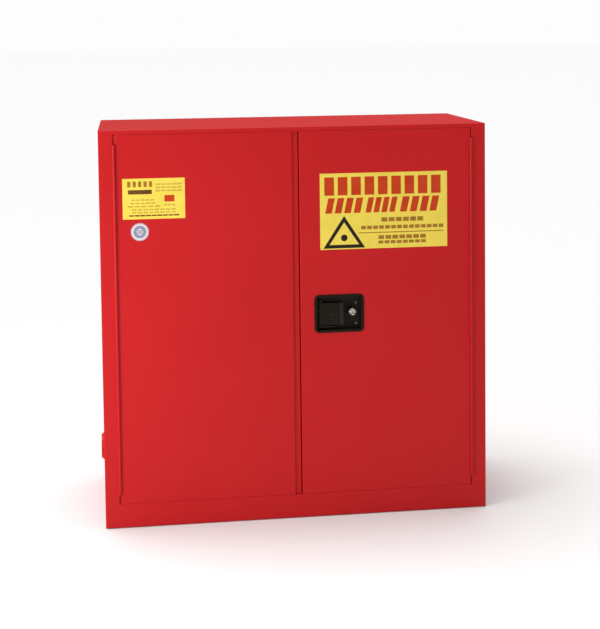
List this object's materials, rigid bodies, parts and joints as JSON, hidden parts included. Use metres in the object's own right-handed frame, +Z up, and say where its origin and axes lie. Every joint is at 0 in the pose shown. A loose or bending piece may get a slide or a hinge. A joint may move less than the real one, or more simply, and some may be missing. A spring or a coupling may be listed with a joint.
{
  "type": "flammable storage cabinet",
  "caption": "Low double-walled steel storage cabinet with twin hinged doors, a recessed paddle latch, side vents with screw caps, a leak-proof sill and a rimmed shelf.",
  "frame": {"origin": "at floor level under the feet, in the middle of the overall width and of the overall depth, hinge knuckles included", "axes": "+Z up, -Y out of the doors, +X to the right of someone facing the doors"},
  "size_m": [1.116, 0.4642, 1.118],
  "materials": {
    "red_paint": "gloss",
    "zinc_steel": "satin",
    "vent_mesh": "satin",
    "brass": "satin",
    "black_plastic": "satin",
    "black_metal": "satin",
    "nickel": "gloss",
    "dark_steel": "satin",
    "nylon": "matt",
    "label_yellow": "satin",
    "label_white": "satin"
  },
  "bodies": {
    "cabinet": {"earthing_nut": "brass", "earthing_stud": "brass", "foot_sockets": "zinc_steel", "inner_back": "red_paint", "inner_left_side": "red_paint", "inner_right_side": "red_paint", "inner_top": "red_paint", "left_flame_arrester": "vent_mesh", "left_hinge_frame_leaf": "red_paint", "left_hinge_pin": "red_paint", "left_stile": "red_paint", "left_vent_tube": "red_paint", "outer_back": "red_paint", "outer_bottom": "red_paint", "outer_left_side": "red_paint", "outer_right_side": "red_paint", "outer_top": "red_paint", "plinth_front": "red_paint", "right_flame_arrester": "vent_mesh", "right_hinge_frame_leaf": "red_paint", "right_hinge_pin": "red_paint", "right_stile": "red_paint", "right_vent_tube": "red_paint", "shelf": "zinc_steel", "shelf_clips": "zinc_steel", "shelf_standards": "zinc_steel", "sill": "red_paint", "sump": "red_paint", "top_rail": "red_paint"},
    "left_door": {"left_door_outer": "red_paint", "left_door_inner": "red_paint", "left_hinge_door_leaf": "red_paint", "data_label": "label_yellow", "seal_label": "label_white"},
    "right_door": {"right_door_outer": "red_paint", "right_door_inner": "red_paint", "right_hinge_door_leaf": "red_paint", "handle_pan": "black_plastic", "paddle_pin": "dark_steel", "paddle_spring": "dark_steel", "lock_barrel": "dark_steel", "latch_plate": "zinc_steel", "rod_guides": "nylon", "handle_screws": "dark_steel", "warning_label": "label_yellow"},
    "paddle": {"paddle": "black_metal"},
    "latch_cam": {"latch_cam": "zinc_steel"},
    "top_rod": {"top_rod": "zinc_steel"},
    "bottom_rod": {"bottom_rod": "zinc_steel"},
    "centre_bolt": {"centre_bolt": "zinc_steel"},
    "lock_plug": {"lock_plug": "nickel"},
    "left_vent_cap": {"left_vent_cap": "red_paint"},
    "right_vent_cap": {"right_vent_cap": "red_paint"},
    "front_left_foot": {"front_left_foot": "zinc_steel"},
    "back_left_foot": {"back_left_foot": "zinc_steel"},
    "front_right_foot": {"front_right_foot": "zinc_steel"},
    "back_right_foot": {"back_right_foot": "zinc_steel"}
  },
  "joints": [
    {"name": "left_door_hinge", "type": "hinge", "parent": "cabinet", "child": "left_door", "pos_m": [-0.504, -0.2279, 0.6], "axis": [0, 0, -1], "range_deg": [0, 180]},
    {"name": "right_door_hinge", "type": "hinge", "parent": "cabinet", "child": "right_door", "pos_m": [0.504, -0.2279, 0.6], "axis": [0, 0, 1], "range_deg": [0, 180]},
    {"name": "paddle_pull", "type": "hinge", "parent": "right_door", "child": "paddle", "pos_m": [0.067, -0.2184, 0.5845], "axis": [0, 0, -1], "range_deg": [0, 35], "stiffness_Nm_per_rad": 0.6, "springref_deg": -28.65},
    {"name": "cam_turn", "type": "hinge", "parent": "right_door", "child": "latch_cam", "pos_m": [0.07995, -0.2049, 0.573], "axis": [0, 1, 0], "range_deg": [0, 40.01]},
    {"name": "top_rod_slide", "type": "slide", "parent": "right_door", "child": "top_rod", "axis": [0, 0, -1], "range_m": [0, 0.0171]},
    {"name": "bottom_rod_slide", "type": "slide", "parent": "right_door", "child": "bottom_rod", "axis": [0, 0, 1], "range_m": [0, 0.01711]},
    {"name": "centre_bolt_slide", "type": "slide", "parent": "right_door", "child": "centre_bolt", "axis": [1, 0, 0], "range_m": [0, 0.01091]},
    {"name": "lock_turn", "type": "hinge", "parent": "right_door", "child": "lock_plug", "pos_m": [0.158, -0.2249, 0.5885], "axis": [0, -1, 0], "range_deg": [0, 90]},
    {"name": "left_vent_cap_turn", "type": "hinge", "parent": "cabinet", "child": "left_vent_cap", "pos_m": [-0.55, 0.0036, 0.168], "axis": [-1, 0, 0], "continuous": true},
    {"name": "right_vent_cap_turn", "type": "hinge", "parent": "cabinet", "child": "right_vent_cap", "pos_m": [0.55, 0.0036, 0.95], "axis": [1, 0, 0], "continuous": true},
    {"name": "front_left_foot_turn", "type": "hinge", "parent": "cabinet", "child": "front_left_foot", "pos_m": [-0.491, -0.1699, 0.02], "axis": [0, 0, 1], "continuous": true},
    {"name": "front_right_foot_turn", "type": "hinge", "parent": "cabinet", "child": "front_right_foot", "pos_m": [0.491, -0.1699, 0.02], "axis": [0, 0, 1], "continuous": true},
    {"name": "back_left_foot_turn", "type": "hinge", "parent": "cabinet", "child": "back_left_foot", "pos_m": [-0.491, 0.1771, 0.02], "axis": [0, 0, 1], "continuous": true},
    {"name": "back_right_foot_turn", "type": "hinge", "parent": "cabinet", "child": "back_right_foot", "pos_m": [0.491, 0.1771, 0.02], "axis": [0, 0, 1], "continuous": true}
  ],
  "couplings": [
    {"joint": "paddle_pull", "follows": "top_rod_slide", "rad_per_m": 35.721},
    {"joint": "cam_turn", "follows": "top_rod_slide", "rad_per_m": 40.824},
    {"joint": "bottom_rod_slide", "follows": "top_rod_slide", "ratio": 1},
    {"joint": "centre_bolt_slide", "follows": "top_rod_slide", "ratio": 0.63727}
  ]
}
